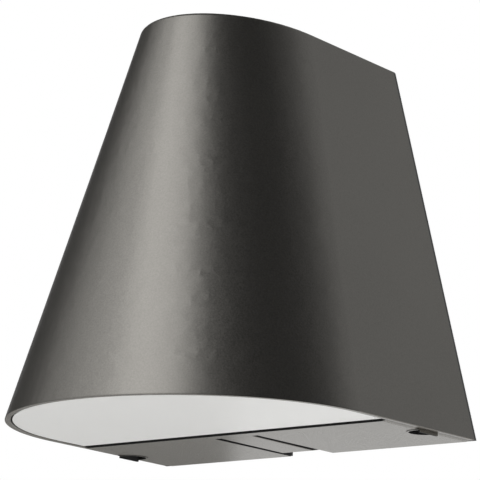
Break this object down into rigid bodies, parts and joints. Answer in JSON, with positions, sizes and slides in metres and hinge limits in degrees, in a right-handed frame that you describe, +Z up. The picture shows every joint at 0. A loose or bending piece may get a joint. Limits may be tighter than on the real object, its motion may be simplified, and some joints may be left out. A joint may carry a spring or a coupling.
{
  "type": "outdoor wall light",
  "caption": "Outdoor wall downlight: cone-fronted graphite housing, opal diffuser below, rear plate with spring tongue, head slides off a steel wall bracket.",
  "frame": {"origin": "on the wall plane, in the middle of the wall bracket's screw slots", "axes": "+Y into the wall, +Z up, X along the wall; the lamp stands out towards -Y"},
  "size_m": [0.176, 0.1705, 0.1815],
  "materials": {
    "graphite_paint": "cast aluminium with a fine-grained satin powder coat, dark graphite grey",
    "opal_plastic": "opal acrylic, satin",
    "graphite_plastic": "graphite grey moulded plastic, fine texture",
    "seal_rubber": "black sealing rubber",
    "silicone": "grey silicone",
    "zinc_steel": "zinc-plated sheet steel",
    "white_plastic": "white moulded plastic",
    "terminal_plastic": "light grey moulded plastic",
    "board_white": "white solder mask",
    "led_phosphor": "yellow phosphor",
    "plate_aluminium": "mill finish",
    "driver_plastic": "off-white moulded case",
    "lead_insulation": "wire insulation",
    "brass": "turned brass",
    "screw_steel": "zinc-plated steel"
  },
  "bodies": {
    "wall_base": {"wall_bracket": "zinc_steel", "terminal_block": "terminal_plastic", "terminal_screws": "screw_steel", "block_screws": "screw_steel", "earth_screw": "screw_steel", "cable_grommet": "seal_rubber"},
    "head": {"housing": "graphite_paint", "wall_seal": "seal_rubber", "diffuser": "opal_plastic", "diffuser_gasket": "silicone", "light_chamber": "white_plastic", "chamber_screws": "screw_steel", "led_board": "board_white", "led_chips": "led_phosphor", "heat_plate": "plate_aluminium", "board_screws": "screw_steel", "driver": "driver_plastic", "driver_screws": "screw_steel", "led_leads": "lead_insulation", "contact_plug": "terminal_plastic", "contact_pins": "brass", "plug_screws": "screw_steel", "plug_leads": "lead_insulation", "rear_plate": "graphite_plastic", "plate_seal": "seal_rubber", "plate_screws": "screw_steel", "thread_inserts": "brass"},
    "tongue": {"spring_tongue": "graphite_plastic"},
    "right_screw": {"fixing_screw_right": "screw_steel"},
    "left_screw": {"fixing_screw_left": "screw_steel"}
  },
  "joints": [
    {"name": "head_slide", "type": "slide", "parent": "wall_base", "child": "head", "axis": [0, -1, 0], "range_m": [0, 0.06]},
    {"name": "tongue_flex", "type": "hinge", "parent": "head", "child": "tongue", "pos_m": [0, -0.0599, -0.0896], "axis": [-1, 0, 0], "range_deg": [0, 5], "stiffness_Nm_per_rad": 1.7},
    {"name": "right_screw_turn", "type": "hinge", "parent": "head", "child": "right_screw", "pos_m": [0.07776, -0.0338, -0.09], "axis": [0, 0, 1], "range_deg": [0, 540]},
    {"name": "left_screw_turn", "type": "hinge", "parent": "head", "child": "left_screw", "pos_m": [-0.07776, -0.0338, -0.09], "axis": [0, 0, 1], "range_deg": [0, 540]}
  ]
}
